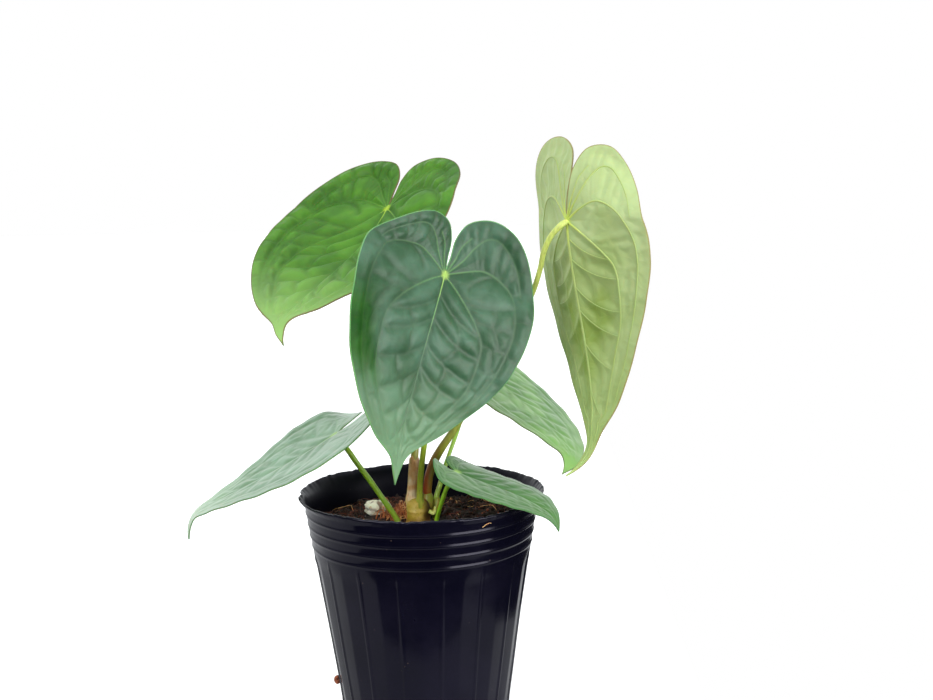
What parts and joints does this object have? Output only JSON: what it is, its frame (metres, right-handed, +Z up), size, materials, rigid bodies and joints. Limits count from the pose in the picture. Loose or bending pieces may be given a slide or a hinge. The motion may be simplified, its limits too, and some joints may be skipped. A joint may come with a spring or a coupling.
{
  "type": "potted anthurium plant",
  "caption": "Young potted anthurium with long-stalked heart-shaped leaves on a short stem, in potting mix in a soft ribbed nursery pot.",
  "frame": {"origin": "middle of the pot's base, on the surface it stands on", "axes": "+Z up out of the pot, -Y towards the viewer of the front leaf, +X to that viewer's right"},
  "size_m": [0.2231, 0.1485, 0.2848],
  "materials": {
    "pot_plastic": "gloss",
    "potting_mix": "matte",
    "pumice": "matte",
    "stem": "satin",
    "dry_sheath": "matte",
    "leaf_front": "satin",
    "leaf_upper_left": "satin",
    "leaf_upper_right": "satin",
    "leaf_lower_left": "satin",
    "leaf_lower_right": "satin",
    "leaf_rear": "satin"
  },
  "bodies": {
    "root": {"pot": "pot_plastic", "potting_mix": "potting_mix", "pumice_stone": "pumice", "stem": "stem", "dry_sheath": "dry_sheath", "leaf_front": "leaf_front", "leaf_upper_left": "leaf_upper_left", "leaf_upper_right": "leaf_upper_right", "leaf_lower_left": "leaf_lower_left", "leaf_lower_right": "leaf_lower_right", "leaf_rear": "leaf_rear"}
  },
  "joints": []
}
